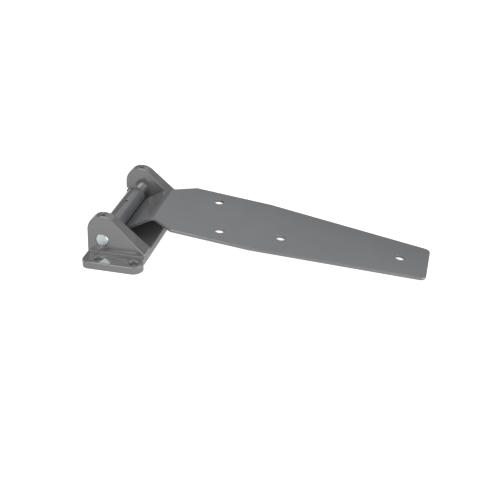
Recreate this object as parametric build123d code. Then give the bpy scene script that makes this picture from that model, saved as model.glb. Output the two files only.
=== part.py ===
from build123d import *
from math import acos, asin, atan2, cos, degrees, hypot, radians, sin, tan
import os

# Cam lift hinge for a heavy insulated door, in millimetres.
# A cast bracket with two ears holds a fixed pin. A steel strap, rolled round that pin,
# swings between the ears and climbs along the pin on a pair of helical cams.
# The origin is the centre of the bracket's mounting face. X runs along the strap,
# Y along the pin towards its upper end in use, and Z away from the mounting face.

# Bracket foot
foot_length = 163.4
foot_width = 56.2
foot_thickness = 7.7
foot_corner_radius = 7.0
foot_edge_radius = 1.2
lug_radius = 9.2
lug_overhang = 2.5
lug_blend_radius = 3.0

# Screw holes in the foot
screw_hole_diameter = 7.1
countersink_diameter = 10.6
countersink_angle = 82.0
screw_hole_end_inset = 9.2

# Bracket ears
ear_root_thickness = 17.7
ear_root_gap = 88.3
ear_draft_angle = 6.0
ear_top_radius = 15.3
ear_slope_distance = 22.0
ear_slope_angle = 44.5
ear_root_fillet = 1.5
ear_edge_chamfer = 0.7

# Seats for the cams, sunk in the inner faces of the ears
seat_spacing = 92.6
seat_diameter = 21.0

# Pin
pin_diameter = 12.7
pin_length = 122.2
pin_height = 19.8
pin_edge_distance = 14.9
pin_end_chamfer = 0.9
pin_fit = 0.03
running_clearance = 0.06

# Set screws that hold the pin
set_screw_diameter = 6.35
set_screw_recess = 1.4
set_screw_point_chamfer = 1.2
set_screw_socket_width = 3.2
set_screw_socket_depth = 3.5
thread_fit = 0.03

# Strap
strap_length = 300.0
strap_thickness = 3.2
strap_rise = 15.1
strap_bend_distance = 36.0
strap_bend_radius = 7.0
strap_neck_width = 63.5
strap_width = 88.9
strap_tip_width = 54.0
strap_tip_corner_radius = 6.0
strap_neck_corner_distance = 40.0
strap_shoulder_distance = 59.5
strap_taper_start = 139.5
strap_side_offset = 1.15
strap_seam_gap = 0.6
strap_tip_clearance = 0.4
strap_notch_blend_radius = 1.5
oil_hole_diameter = 3.2

# Bolt holes in the strap, each by its distance from the pin and from the centreline
bolt_hole_diameter = 9.0
front_hole_distance = 103.0
front_hole_offset = -26.2
rear_hole_distance = 88.0
rear_hole_offset = 26.6
middle_hole_distance = 160.0
middle_hole_offset = -14.2
tip_hole_inset = 27.0

# Cams and washer
opening_angle = 120.0
full_lift = 9.5
cam_diameter = 19.0
cam_base_thickness = 4.0
cam_face_gap = 0.15
key_width = 3.2
key_depth = 7.5
key_fit = 0.05
key_end_gap = 1.0
washer_diameter = 18.8
washer_thickness = 1.6
washer_fit = 0.05

# How far a cut runs past the surface that it leaves
cut_overrun = 2.0

# Places worked out from the sizes
foot_left = -foot_width / 2
foot_right = foot_width / 2
foot_end = foot_length / 2
pin_x = foot_left + pin_edge_distance
pin_radius = pin_diameter / 2
pin_axis = Pos(pin_x, 0, pin_height)
ear_inner_root = ear_root_gap / 2
ear_outer_root = ear_inner_root + ear_root_thickness
ear_middle = ear_inner_root + ear_root_thickness / 2
seat_face = seat_spacing / 2
front_hole_x = foot_right + lug_overhang - lug_radius
screw_hole_y = foot_end - screw_hole_end_inset
tip_hole_distance = strap_length - tip_hole_inset

# The rounded top of the ears, its centre measured from the pin
ear_slope = radians(ear_slope_angle)
ear_top_x = ear_top_radius - pin_edge_distance
ear_top_z = (ear_slope_distance - ear_top_radius - ear_top_x * sin(ear_slope)) / cos(ear_slope)
ear_top = pin_height + ear_top_z + ear_top_radius

eye_inner_radius = pin_radius + running_clearance
eye_outer_radius = eye_inner_radius + strap_thickness
strap_top = strap_rise + strap_thickness
neck_half_width = strap_neck_width / 2
eye_upper_end = strap_side_offset + neck_half_width

# Angle at which the strap's tip comes down just above the surface that carries the foot
rest_angle = degrees(
    asin((pin_height - strap_tip_clearance) / hypot(strap_length, strap_rise))
    + atan2(strap_rise, strap_length)
)
cam_lobe_rise = full_lift * 180.0 / (opening_angle + rest_angle)
cam_height = cam_base_thickness + cam_lobe_rise - cam_face_gap / 2
eye_lower_end = -seat_face + 2 * cam_base_thickness + cam_lobe_rise + key_fit
strap_pose = pin_axis * Rot(0, rest_angle, 0) * Pos(0, strap_side_offset, 0)


def cylinder_along_y(radius, start, end):
    """A round bar about the pin's axis, from one Y to another."""
    bar = Cylinder(radius, end - start, align=(Align.CENTER, Align.CENTER, Align.MIN))
    return pin_axis * Pos(0, start, 0) * Rot(-90, 0, 0) * bar


def on_xz(face, half_depth):
    """An outline drawn in X and Z, given depth both ways along Y."""
    return extrude(Plane.XZ * face, amount=half_depth, both=True)


# Bracket

def rounded_foot():
    """The foot's outline, with a lug swelling out round each front screw hole."""
    outline = Rectangle(foot_width, foot_length)
    outline = fillet(outline.vertices(), foot_corner_radius)
    for side in (-1, 1):
        outline += Pos(front_hole_x, side * screw_hole_y) * Circle(lug_radius)
    inner_corners = [
        vertex
        for vertex in outline.vertices()
        if abs(vertex.X - foot_right) < 0.01 and abs(vertex.Y) < screw_hole_y
    ]
    outline = fillet(inner_corners, lug_blend_radius)
    plate = extrude(outline, foot_thickness)
    rim = plate.faces().sort_by(Axis.Z)[-1].edges()
    return fillet(rim, foot_edge_radius)


def ear_outline():
    """Side view of an ear: upright back and long front slope under one large rounding."""
    back_x = -pin_edge_distance
    toe_z = -pin_height
    peak_z = (ear_slope_distance - back_x * sin(ear_slope)) / cos(ear_slope)
    slope_x_at_toe = (ear_slope_distance - toe_z * cos(ear_slope)) / sin(ear_slope)
    outline = Polygon((back_x, toe_z), (back_x, peak_z), (slope_x_at_toe, toe_z), align=None)
    return fillet(outline.vertices().sort_by(Axis.Y)[-1], ear_top_radius)


def ear_section():
    """End view of an ear: thick at the foot and drafted on both faces."""
    height = ear_top + cut_overrun
    lean = tan(radians(ear_draft_angle)) * (height - foot_thickness)
    return Polygon(
        (ear_inner_root, foot_thickness),
        (ear_inner_root + lean, height),
        (ear_outer_root - lean, height),
        (ear_outer_root, foot_thickness),
        align=None,
    )


def ear():
    """The ear on the upper side, rounded along its outline and coved where it meets the foot."""
    body = pin_axis * on_xz(ear_outline(), foot_end)
    body &= extrude(Plane.YZ * ear_section(), amount=foot_width, both=True)
    outline_edges = [
        edge
        for edge in body.edges().filter_by(Axis.Y, reverse=True)
        if edge.center().Z > foot_thickness + 0.01
    ]
    body = chamfer(outline_edges, ear_edge_chamfer)
    body &= Pos(0, 0, ear_top) * Box(foot_width, 2 * foot_length, 2 * ear_top)

    # Coved root, which ends just inside the edges of the foot
    root = Pos(ear_middle, foot_thickness / 2) * Rectangle(
        ear_root_thickness + 4 * ear_root_fillet, foot_thickness
    )
    coved = ear_section() + root
    inside_corners = [
        vertex
        for vertex in coved.vertices()
        if abs(vertex.Y - foot_thickness) < 0.01
        and abs(vertex.X - ear_middle) < ear_root_thickness / 2 + 0.01
    ]
    coved = fillet(inside_corners, ear_root_fillet)
    cove_height = foot_thickness + ear_root_fillet
    cove = extrude(Plane.YZ * coved, amount=foot_width / 2 - foot_edge_radius, both=True)
    return body + (cove & Pos(0, 0, cove_height / 2) * Box(foot_width, 2 * foot_length, cove_height))


def bracket():
    half = ear()
    body = rounded_foot() + half + mirror(half, Plane.XZ)

    # Flat seats for the cams, the pin's bore and the slots for the cams' keys, open at the back
    body -= cylinder_along_y(seat_diameter / 2, -seat_face, seat_face)
    body -= cylinder_along_y(pin_radius + pin_fit, -foot_end, foot_end)
    slot_length = pin_edge_distance + cut_overrun
    slot_start = ear_inner_root - cut_overrun
    slot_end = seat_face + key_depth + key_end_gap
    for side in (-1, 1):
        slot = Box(slot_length, slot_end - slot_start, key_width + 2 * key_fit)
        body -= pin_axis * Pos(-slot_length / 2, side * (slot_start + slot_end) / 2, 0) * slot

    # Tapped holes for the set screws, straight down on the pin
    tapped = Cylinder(
        set_screw_diameter / 2 + thread_fit,
        ear_top + cut_overrun - pin_height,
        align=(Align.CENTER, Align.CENTER, Align.MIN),
    )
    for side in (-1, 1):
        body -= Pos(pin_x, side * ear_middle, pin_height) * tapped

    # Countersunk screw holes, two in each end of the foot
    drill = CounterSinkHole(
        screw_hole_diameter / 2, countersink_diameter / 2, foot_thickness, countersink_angle
    )
    for x in (pin_x, front_hole_x):
        for side in (-1, 1):
            body -= Pos(x, side * screw_hole_y, foot_thickness) * drill
    return body


def pin():
    bar = cylinder_along_y(pin_radius, -pin_length / 2, pin_length / 2)
    return chamfer(bar.edges().filter_by(GeomType.CIRCLE), pin_end_chamfer)


def set_screw(side):
    """Headless screw with a hexagon socket, standing on the pin just under the ear's top."""
    seat = pin_height + pin_radius + thread_fit
    length = ear_top - set_screw_recess - seat
    screw = Cylinder(set_screw_diameter / 2, length, align=(Align.CENTER, Align.CENTER, Align.MIN))
    screw = chamfer(screw.edges().sort_by(Axis.Z)[0], set_screw_point_chamfer)
    socket = extrude(
        RegularPolygon(set_screw_socket_width / 2, 6, major_radius=False), -set_screw_socket_depth
    )
    screw -= Pos(0, 0, length) * socket
    return Pos(pin_x, side * ear_middle, seat) * screw


# Strap, drawn lying level with the pin's axis at the origin

def strap_section():
    """Side view of the strap: a rolled eye, a raking web and the flat plate."""
    reach = hypot(strap_bend_distance, strap_top)
    rake = degrees(atan2(strap_top, strap_bend_distance) + asin(eye_inner_radius / reach))
    lean = radians(rake)
    web = Polygon(
        (eye_inner_radius * sin(lean), -eye_inner_radius * cos(lean)),
        (strap_bend_distance, strap_top),
        (strap_length, strap_top),
        (strap_length, strap_rise),
        (strap_bend_distance + strap_thickness * tan(lean / 2), strap_rise),
        (eye_outer_radius * sin(lean), -eye_outer_radius * cos(lean)),
        align=None,
    )
    bend = web.vertices().sort_by_distance((strap_bend_distance, strap_top, 0))
    web = fillet(bend[0], strap_bend_radius + strap_thickness)
    bend = web.vertices().sort_by_distance((strap_bend_distance, strap_rise, 0))
    web = fillet(bend[0], strap_bend_radius)

    # The roll stops short of the web by the seam
    open_angle = degrees(acos((eye_inner_radius - strap_seam_gap) / eye_outer_radius))
    far = 3 * eye_outer_radius
    start = radians(rake - 90)
    end = radians(rake - 90 + open_angle)
    opening = Polygon(
        (0, 0), (far * cos(start), far * sin(start)), (far * cos(end), far * sin(end)), align=None
    )
    roll = Circle(eye_outer_radius) - Circle(eye_inner_radius) - opening
    return roll + web


def strap_plan():
    """Plan of the strap: notched beside the roll, widening to the shoulders, then tapering."""
    back = -2 * eye_outer_radius
    notch = eye_outer_radius + strap_notch_blend_radius + key_fit
    eye_start = eye_lower_end - strap_side_offset
    half_width = strap_width / 2
    half_tip = strap_tip_width / 2
    plan = Polygon(
        (back, neck_half_width),
        (strap_neck_corner_distance, neck_half_width),
        (strap_shoulder_distance, half_width),
        (strap_taper_start, half_width),
        (strap_length, half_tip),
        (strap_length, -half_tip),
        (strap_taper_start, -half_width),
        (strap_shoulder_distance, -half_width),
        (strap_neck_corner_distance, -neck_half_width),
        (notch, -neck_half_width),
        (notch, eye_start),
        (back, eye_start),
        align=None,
    )
    tip = [vertex for vertex in plan.vertices() if vertex.X > strap_length - 0.01]
    plan = fillet(tip, strap_tip_corner_radius)
    corner = plan.vertices().sort_by_distance((notch, eye_start, 0))[0]
    return fillet(corner, strap_notch_blend_radius)


def strap():
    body = on_xz(strap_section(), strap_width)
    body &= extrude(strap_plan(), strap_width, both=True)
    bolt_holes = [
        (front_hole_distance, front_hole_offset),
        (rear_hole_distance, rear_hole_offset),
        (middle_hole_distance, middle_hole_offset),
        (tip_hole_distance, 0),
    ]
    for along, across in bolt_holes:
        body -= Pos(along, across, strap_top) * Cylinder(bolt_hole_diameter / 2, 4 * strap_thickness)
    eye_middle = (eye_lower_end + eye_upper_end) / 2 - strap_side_offset
    oil_hole = Cylinder(
        oil_hole_diameter / 2, 2 * eye_outer_radius, align=(Align.CENTER, Align.CENTER, Align.MIN)
    )
    body -= Pos(0, eye_middle, 0) * oil_hole
    body = strap_pose * body

    # Notch in the lower end of the eye, at the back, for the key of the lifting cam
    notch_length = eye_outer_radius + cut_overrun
    notch_depth = key_depth + key_end_gap
    notch = Box(notch_length, notch_depth, key_width + 2 * key_fit)
    return body - pin_axis * Pos(-notch_length / 2, eye_lower_end + notch_depth / 2, 0) * notch


# Cams: two equal pieces with two helical lobes, one turned over to face the other

def cam():
    """A cam standing on the origin, its lobes climbing along Z."""
    bore = eye_inner_radius
    middle = (bore + cam_diameter / 2) / 2
    ring = Cylinder(cam_diameter / 2, cam_height, align=(Align.CENTER, Align.CENTER, Align.MIN))
    key = Pos(-cam_diameter / 4, 0, -key_depth / 2) * Box(cam_diameter / 2, key_width, key_depth)
    key &= Pos(0, 0, -key_depth / 2) * Cylinder(cam_diameter / 2, key_depth)
    body = ring + key

    pitch = 2 * cam_lobe_rise
    path = Helix(pitch, cam_lobe_rise, middle, lefthand=True)
    width = cam_diameter / 2 - bore + 2 * cut_overrun
    blank = Pos(middle, 0, cam_lobe_rise) * Rot(90, 0, 0) * Rectangle(width, 2 * cam_lobe_rise)
    groove = sweep(blank, path=path, is_frenet=True)
    for turn in (0, 180):
        body -= Rot(0, 0, turn) * Pos(0, 0, cam_base_thickness - cam_face_gap / 2) * groove
    return body - Cylinder(bore, 4 * cam_height)


def lower_cam():
    return pin_axis * Pos(0, -seat_face, 0) * Rot(-90, 0, 0) * cam()


def upper_cam():
    return pin_axis * Pos(0, eye_lower_end - key_fit, 0) * Rot(90, 0, 0) * cam()


def washer():
    start = eye_upper_end + washer_fit
    ring = cylinder_along_y(washer_diameter / 2, start, start + washer_thickness)
    return ring - cylinder_along_y(eye_inner_radius, start, start + washer_thickness)


os.makedirs("parts", exist_ok=True)
pieces = {
    "mounting_bracket": bracket(),
    "hinge_strap": strap(),
    "hinge_pin": pin(),
    "lower_cam": lower_cam(),
    "upper_cam": upper_cam(),
    "thrust_washer": washer(),
    "lower_set_screw": set_screw(-1),
    "upper_set_screw": set_screw(1),
}
for name, piece in pieces.items():
    export_step(piece, f"parts/{name}.step")
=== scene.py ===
import bpy
import math
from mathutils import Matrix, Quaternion, Vector


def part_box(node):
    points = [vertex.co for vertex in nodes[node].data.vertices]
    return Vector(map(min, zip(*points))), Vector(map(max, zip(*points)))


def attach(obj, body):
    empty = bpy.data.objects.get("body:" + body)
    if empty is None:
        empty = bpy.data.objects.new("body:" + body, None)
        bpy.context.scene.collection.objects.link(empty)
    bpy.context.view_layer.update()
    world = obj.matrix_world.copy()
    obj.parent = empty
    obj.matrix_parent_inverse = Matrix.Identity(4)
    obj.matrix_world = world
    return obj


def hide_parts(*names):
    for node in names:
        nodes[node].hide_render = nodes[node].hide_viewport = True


# Cam lift hinge: painted bracket and strap, bright pin, in a white light tent. Metres throughout.
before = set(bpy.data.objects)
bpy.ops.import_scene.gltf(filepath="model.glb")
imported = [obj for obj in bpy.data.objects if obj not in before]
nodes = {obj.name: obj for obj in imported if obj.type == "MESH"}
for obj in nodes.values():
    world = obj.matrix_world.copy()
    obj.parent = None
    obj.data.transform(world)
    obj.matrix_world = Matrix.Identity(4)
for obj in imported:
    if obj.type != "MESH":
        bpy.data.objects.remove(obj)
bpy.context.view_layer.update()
print("frame loaded")


# small helpers for building materials

def newMaterial(name, baseColor, roughness, metallic=0.0):
    material = bpy.data.materials.new(name)
    material.use_nodes = True
    shader = material.node_tree.nodes["Principled BSDF"]
    shader.inputs["Base Color"].default_value = (*baseColor, 1)
    shader.inputs["Roughness"].default_value = roughness
    shader.inputs["Metallic"].default_value = metallic
    return material, shader


def addNode(material, kind, **settings):
    node = material.node_tree.nodes.new(kind)
    for key, value in settings.items():
        setattr(node, key, value)
    return node


def link(material, fromSocket, toSocket):
    material.node_tree.links.new(fromSocket, toSocket)


def noiseOn(material, scale, detail=4.0, roughness=0.55):
    coords = addNode(material, "ShaderNodeTexCoord")
    noise = addNode(material, "ShaderNodeTexNoise")
    noise.inputs["Scale"].default_value = scale
    noise.inputs["Detail"].default_value = detail
    noise.inputs["Roughness"].default_value = roughness
    link(material, coords.outputs["Object"], noise.inputs["Vector"])
    return noise


def rampOn(material, source, low, high, colorLow, colorHigh):
    ramp = addNode(material, "ShaderNodeValToRGB")
    ramp.color_ramp.elements[0].position = low
    ramp.color_ramp.elements[1].position = high
    ramp.color_ramp.elements[0].color = (*colorLow, 1)
    ramp.color_ramp.elements[1].color = (*colorHigh, 1)
    link(material, source, ramp.inputs["Fac"])
    return ramp


def bumpOn(material, height, strength, distance, normalBelow=None):
    bump = addNode(material, "ShaderNodeBump")
    bump.inputs["Strength"].default_value = strength
    bump.inputs["Distance"].default_value = distance
    link(material, height, bump.inputs["Height"])
    if normalBelow is not None:
        link(material, normalBelow, bump.inputs["Normal"])
    return bump


# gray paint with a metallic gloss

bracketFinish = {
    "color": (0.222, 0.222, 0.221),
    "metallic": 0.40,
    "specular": 0.8,
    "roughness": 0.13,
    "castScale": 420.0,     # grain of the casting under the paint
    "castStrength": 0.08,
    "castDepth": 0.00003,
    "peelScale": 170.0,     # faint orange peel of sprayed paint
    "peelStrength": 0.12,
    "peelDepth": 0.00002,
}
strapFinish = {
    "color": (0.214, 0.217, 0.223),
    "metallic": 0.40,
    "specular": 0.8,
    "roughness": 0.18,
    "castScale": 650.0,
    "castStrength": 0.05,
    "castDepth": 0.00003,
    "peelScale": 170.0,
    "peelStrength": 0.12,
    "peelDepth": 0.00002,
}
paintWear = {
    "toneScale": 26.0,
    "toneSpread": 0.04,     # share of the color, either way
    "glossScale": 60.0,
    "glossSpread": 0.015,
    "rampFrom": 0.3,
    "rampTo": 0.7,
    "castDetail": 3.0,
    "peelDetail": 2.0,
}


def makePaint(name, finish):
    color, roughness = finish["color"], finish["roughness"]
    material, shader = newMaterial(name, color, roughness, finish["metallic"])
    shader.inputs["Specular IOR Level"].default_value = finish["specular"]
    rampFrom, rampTo = paintWear["rampFrom"], paintWear["rampTo"]
    tone = noiseOn(material, paintWear["toneScale"])
    lighter = tuple(value * (1 + paintWear["toneSpread"]) for value in color)
    darker = tuple(value * (1 - paintWear["toneSpread"]) for value in color)
    shade = rampOn(material, tone.outputs["Fac"], rampFrom, rampTo, darker, lighter)
    link(material, shade.outputs["Color"], shader.inputs["Base Color"])
    gloss = noiseOn(material, paintWear["glossScale"])
    smoother = (roughness - paintWear["glossSpread"],) * 3
    rougher = (roughness + paintWear["glossSpread"],) * 3
    glossRamp = rampOn(material, gloss.outputs["Fac"], rampFrom, rampTo, smoother, rougher)
    link(material, glossRamp.outputs["Color"], shader.inputs["Roughness"])
    cast = noiseOn(material, finish["castScale"], paintWear["castDetail"])
    castBump = bumpOn(
        material, cast.outputs["Fac"], finish["castStrength"], finish["castDepth"]
    )
    peel = noiseOn(material, finish["peelScale"], paintWear["peelDetail"])
    peelBump = bumpOn(
        material, peel.outputs["Fac"], finish["peelStrength"], finish["peelDepth"],
        castBump.outputs["Normal"],
    )
    link(material, peelBump.outputs["Normal"], shader.inputs["Normal"])
    return material


bracketPaint = makePaint("bracketPaint", bracketFinish)
strapPaint = makePaint("strapPaint", strapFinish)


# bright zinc on the pin and the set screws, mottled by its plating

zinc = {
    "bright": (0.80, 0.84, 0.85),
    "dull": (0.60, 0.66, 0.68),
    "roughness": 0.27,
    "grainScale": 900.0,
    "grainDetail": 5.0,
    "grainFrom": 0.35,
    "grainTo": 0.65,
    "grainStrength": 0.04,
    "grainDepth": 0.00002,
}


def makeZinc():
    material, shader = newMaterial("brightZinc", zinc["bright"], zinc["roughness"], 1.0)
    spots = noiseOn(material, zinc["grainScale"], zinc["grainDetail"])
    shade = rampOn(
        material, spots.outputs["Fac"], zinc["grainFrom"], zinc["grainTo"],
        zinc["dull"], zinc["bright"],
    )
    link(material, shade.outputs["Color"], shader.inputs["Base Color"])
    bump = bumpOn(material, spots.outputs["Fac"], zinc["grainStrength"], zinc["grainDepth"])
    link(material, bump.outputs["Normal"], shader.inputs["Normal"])
    return material


zincPlate = makeZinc()
finishOf = {
    "mounting_bracket": bracketPaint,
    "hinge_strap": strapPaint,
    "thrust_washer": strapPaint,
    "hinge_pin": zincPlate,
    "lower_cam": strapPaint,
    "upper_cam": strapPaint,
    "lower_set_screw": zincPlate,
    "upper_set_screw": zincPlate,
}
for nodeName, finish in finishOf.items():
    node = nodes[nodeName]
    node.data.materials.clear()
    node.data.materials.append(finish)
print("finishes on")


# strap and bracket with the rounding that tumbling and paint leave on their edges

rounding = {
    "strapEdges": 0.0010,
    "plateFrom": 0.031,     # past the bend, where the strap's outline is rounded in full
    "holeShare": 0.3,       # punched edges, the eye and the web are rounded less
    "holeReach": 0.011,     # a face that meets another this near ahead is a hole's wall
    "holeStart": 0.00005,
    "bracketEdges": 0.0004,
    "footTop": 0.009,
    "oilShare": 0.02,       # the oil hole's rim on the eye is only just broken
    "eyeInside": 0.008,
    "seatReach": 0.0125,    # the cams' seats and slots keep their machined edges
    "seatFace": 0.0475,
    "steps": 3,
    "mergeWithin": 0.000002,
    "flatWithin": 1.0,      # degrees
    "sharpFrom": 32.0,      # degrees
}
pinLow, pinHigh = (Vector(corner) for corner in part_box("hinge_pin"))
pinCenter = (pinLow + pinHigh) / 2


def distanceFromPin(place):
    return math.hypot(place.x - pinCenter.x, place.z - pinCenter.z)


# share of the full rounding that an edge gets, by its middle

def strapShare(middle, inHole):
    if middle.x > rounding["plateFrom"]:
        return rounding["holeShare"] if inHole else 1.0
    if not inHole:
        return rounding["holeShare"]
    return rounding["oilShare"] if distanceFromPin(middle) > rounding["eyeInside"] else 0.0


def bracketShare(middle, inHole):
    if inHole:
        return rounding["holeShare"] if middle.z < rounding["footTop"] else 0.0
    seated = (
        distanceFromPin(middle) < rounding["seatReach"]
        and abs(middle.y) < rounding["seatFace"]
    )
    return 0.0 if seated else 1.0


def weighEdges(piece, shareAt):
    facesOf = {}
    inHole = {}
    for face in piece.data.polygons:
        for key in face.edge_keys:
            facesOf.setdefault(key, []).append(face)
        start = face.center + face.normal * rounding["holeStart"]
        inHole[face.index] = piece.ray_cast(start, face.normal, distance=rounding["holeReach"])[0]
    weights = piece.data.attributes.new("bevel_weight_edge", "FLOAT", "EDGE")
    for edge in piece.data.edges:
        first, second = facesOf[tuple(sorted(edge.vertices))]
        if first.normal.angle(second.normal) > math.radians(rounding["sharpFrom"]):
            ends = [piece.data.vertices[index].co for index in edge.vertices]
            inner = inHole[first.index] or inHole[second.index]
            weights.data[edge.index].value = shareAt((ends[0] + ends[1]) / 2, inner)


def roundEdges(pieceName, nodeName, bodyName, radius, shareAt):
    bpy.ops.object.select_all(action="DESELECT")
    piece = bpy.data.objects.new(pieceName, nodes[nodeName].data.copy())
    bpy.context.scene.collection.objects.link(piece)
    bpy.context.view_layer.objects.active = piece
    piece.select_set(True)
    bpy.ops.object.mode_set(mode="EDIT")
    bpy.ops.mesh.select_all(action="SELECT")
    bpy.ops.mesh.remove_doubles(threshold=rounding["mergeWithin"])
    bpy.ops.mesh.dissolve_limited(angle_limit=math.radians(rounding["flatWithin"]))
    bpy.ops.object.mode_set(mode="OBJECT")
    bpy.ops.object.shade_smooth_by_angle(angle=math.radians(rounding["sharpFrom"]))
    weighEdges(piece, shareAt)
    bevel = piece.modifiers.new("fineEdges", "BEVEL")
    bevel.width = radius
    bevel.segments = rounding["steps"]
    bevel.limit_method = "WEIGHT"
    bevel.use_clamp_overlap = False
    bevel.harden_normals = True
    bpy.ops.object.modifier_apply(modifier=bevel.name)
    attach(piece, bodyName)
    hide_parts(nodeName)


roundEdges("strapRounded", "hinge_strap", "strap_body", rounding["strapEdges"], strapShare)
roundEdges(
    "bracketRounded", "mounting_bracket", "bracket_body", rounding["bracketEdges"], bracketShare
)
print("edges rounded")


# white floor and tent, seen white by the camera and in the paint's gloss

tent = {
    "floorSize": 8.0,
    "floorLevel": -0.0002,
    "floorColor": (0.50, 0.50, 0.50),
    "floorRoughness": 0.9,
    "floorGlow": 0.50,      # in the paint's gloss and as light
    "floorSeen": 0.96,      # by the camera, where the object's shadow still shows
    "worldColor": (1.0, 1.0, 1.0),
    "fillStrength": 0.12,
    "glossStrength": 0.25,
    "lampsAimAt": (0.04, 0.0, 0.02),
}
softboxes = {
    "overhead": {"place": (0.05, -0.1, 1.20), "size": (1.4, 1.2), "watts": 4.4},
    "front": {"place": (-0.27, -1.0, 0.66), "size": (0.6, 0.5), "watts": 3.0},
    "frontWide": {"place": (0.0, -1.2, 0.45), "size": (1.6, 0.7), "watts": 2.8},
    "frontRight": {"place": (0.80, -0.85, 0.52), "size": (0.9, 0.7), "watts": 1.4},
    "left": {"place": (-1.20, -0.1, 0.55), "size": (1.2, 0.9), "watts": 3.0},
    "right": {"place": (1.25, -0.1, 0.55), "size": (1.2, 0.9), "watts": 4.2},
    "rightLow": {"place": (1.10, -0.25, 0.16), "size": (0.7, 0.28), "watts": 4.2},
    "behind": {"place": (0.10, 0.9, 0.90), "size": (1.0, 0.7), "watts": 1.1},
}


def makeFloor():
    bpy.ops.object.select_all(action="DESELECT")
    bpy.ops.mesh.primitive_plane_add(size=tent["floorSize"], location=(0, 0, tent["floorLevel"]))
    floor = bpy.context.object
    floor.name = "tableTop"
    material, shader = newMaterial("tableWhite", tent["floorColor"], tent["floorRoughness"])
    shader.inputs["Specular IOR Level"].default_value = 0.0
    path = addNode(material, "ShaderNodeLightPath")
    glow = addNode(material, "ShaderNodeMath", operation="MULTIPLY_ADD")
    glow.inputs[1].default_value = tent["floorSeen"] - tent["floorGlow"]
    glow.inputs[2].default_value = tent["floorGlow"]
    link(material, path.outputs["Is Camera Ray"], glow.inputs[0])
    shader.inputs["Emission Color"].default_value = (1, 1, 1, 1)
    link(material, glow.outputs["Value"], shader.inputs["Emission Strength"])
    floor.data.materials.append(material)


def lightWorld():
    world = bpy.data.worlds.new("whiteTent")
    bpy.context.scene.world = world
    world.use_nodes = True
    tree = world.node_tree
    tree.nodes.clear()
    output = tree.nodes.new("ShaderNodeOutputWorld")
    path = tree.nodes.new("ShaderNodeLightPath")
    shown = {}
    for part, color, strength in (
        ("seen", (1, 1, 1), 1.0),
        ("mirrored", tent["worldColor"], tent["glossStrength"]),
        ("fill", tent["worldColor"], tent["fillStrength"]),
    ):
        shown[part] = tree.nodes.new("ShaderNodeBackground")
        shown[part].inputs["Color"].default_value = (*color, 1)
        shown[part].inputs["Strength"].default_value = strength
    gloss = tree.nodes.new("ShaderNodeMixShader")
    tree.links.new(path.outputs["Is Glossy Ray"], gloss.inputs["Fac"])
    tree.links.new(shown["fill"].outputs["Background"], gloss.inputs[1])
    tree.links.new(shown["mirrored"].outputs["Background"], gloss.inputs[2])
    mix = tree.nodes.new("ShaderNodeMixShader")
    tree.links.new(path.outputs["Is Camera Ray"], mix.inputs["Fac"])
    tree.links.new(gloss.outputs["Shader"], mix.inputs[1])
    tree.links.new(shown["seen"].outputs["Background"], mix.inputs[2])
    tree.links.new(mix.outputs["Shader"], output.inputs["Surface"])


def addSoftbox(name, box):
    lamp = bpy.data.lights.new(name, "AREA")
    lamp.shape = "RECTANGLE"
    lamp.size, lamp.size_y = box["size"]
    lamp.energy = box["watts"]
    lampObject = bpy.data.objects.new(name, lamp)
    bpy.context.scene.collection.objects.link(lampObject)
    lampObject.location = box["place"]
    direction = Vector(tent["lampsAimAt"]) - Vector(box["place"])
    lampObject.rotation_mode = "QUATERNION"
    lampObject.rotation_quaternion = direction.to_track_quat("-Z", "Y")


makeFloor()
lightWorld()
for boxName, box in softboxes.items():
    addSoftbox(boxName, box)
print("tent lit")


# camera at the photograph's place

view = {
    "target": (0.141575, -0.11155, 0.061454),
    "distance": 0.795555,
    "azimuth": 13.4,
    "elevation": 30.539,
    "roll": 0.606,
    "focalPixels": 949.1,
    "framePixels": 500,
    "sensorWidth": 36.0,
}


def placeCamera():
    azimuth = math.radians(view["azimuth"])
    elevation = math.radians(view["elevation"])
    back = Vector((
        math.sin(azimuth) * math.cos(elevation),
        -math.cos(azimuth) * math.cos(elevation),
        math.sin(elevation),
    ))
    lens = bpy.data.cameras.new("photoCamera")
    lens.sensor_width = view["sensorWidth"]
    lens.lens = view["focalPixels"] / view["framePixels"] * lens.sensor_width
    camera = bpy.data.objects.new("photoCamera", lens)
    bpy.context.scene.collection.objects.link(camera)
    camera.location = Vector(view["target"]) + back * view["distance"]
    camera.rotation_mode = "QUATERNION"
    roll = Quaternion((0, 0, 1), math.radians(view["roll"]))
    camera.rotation_quaternion = (-back).to_track_quat("-Z", "Y") @ roll
    bpy.context.scene.camera = camera


placeCamera()
bpy.context.scene.view_settings.view_transform = "Standard"
print("camera placed")
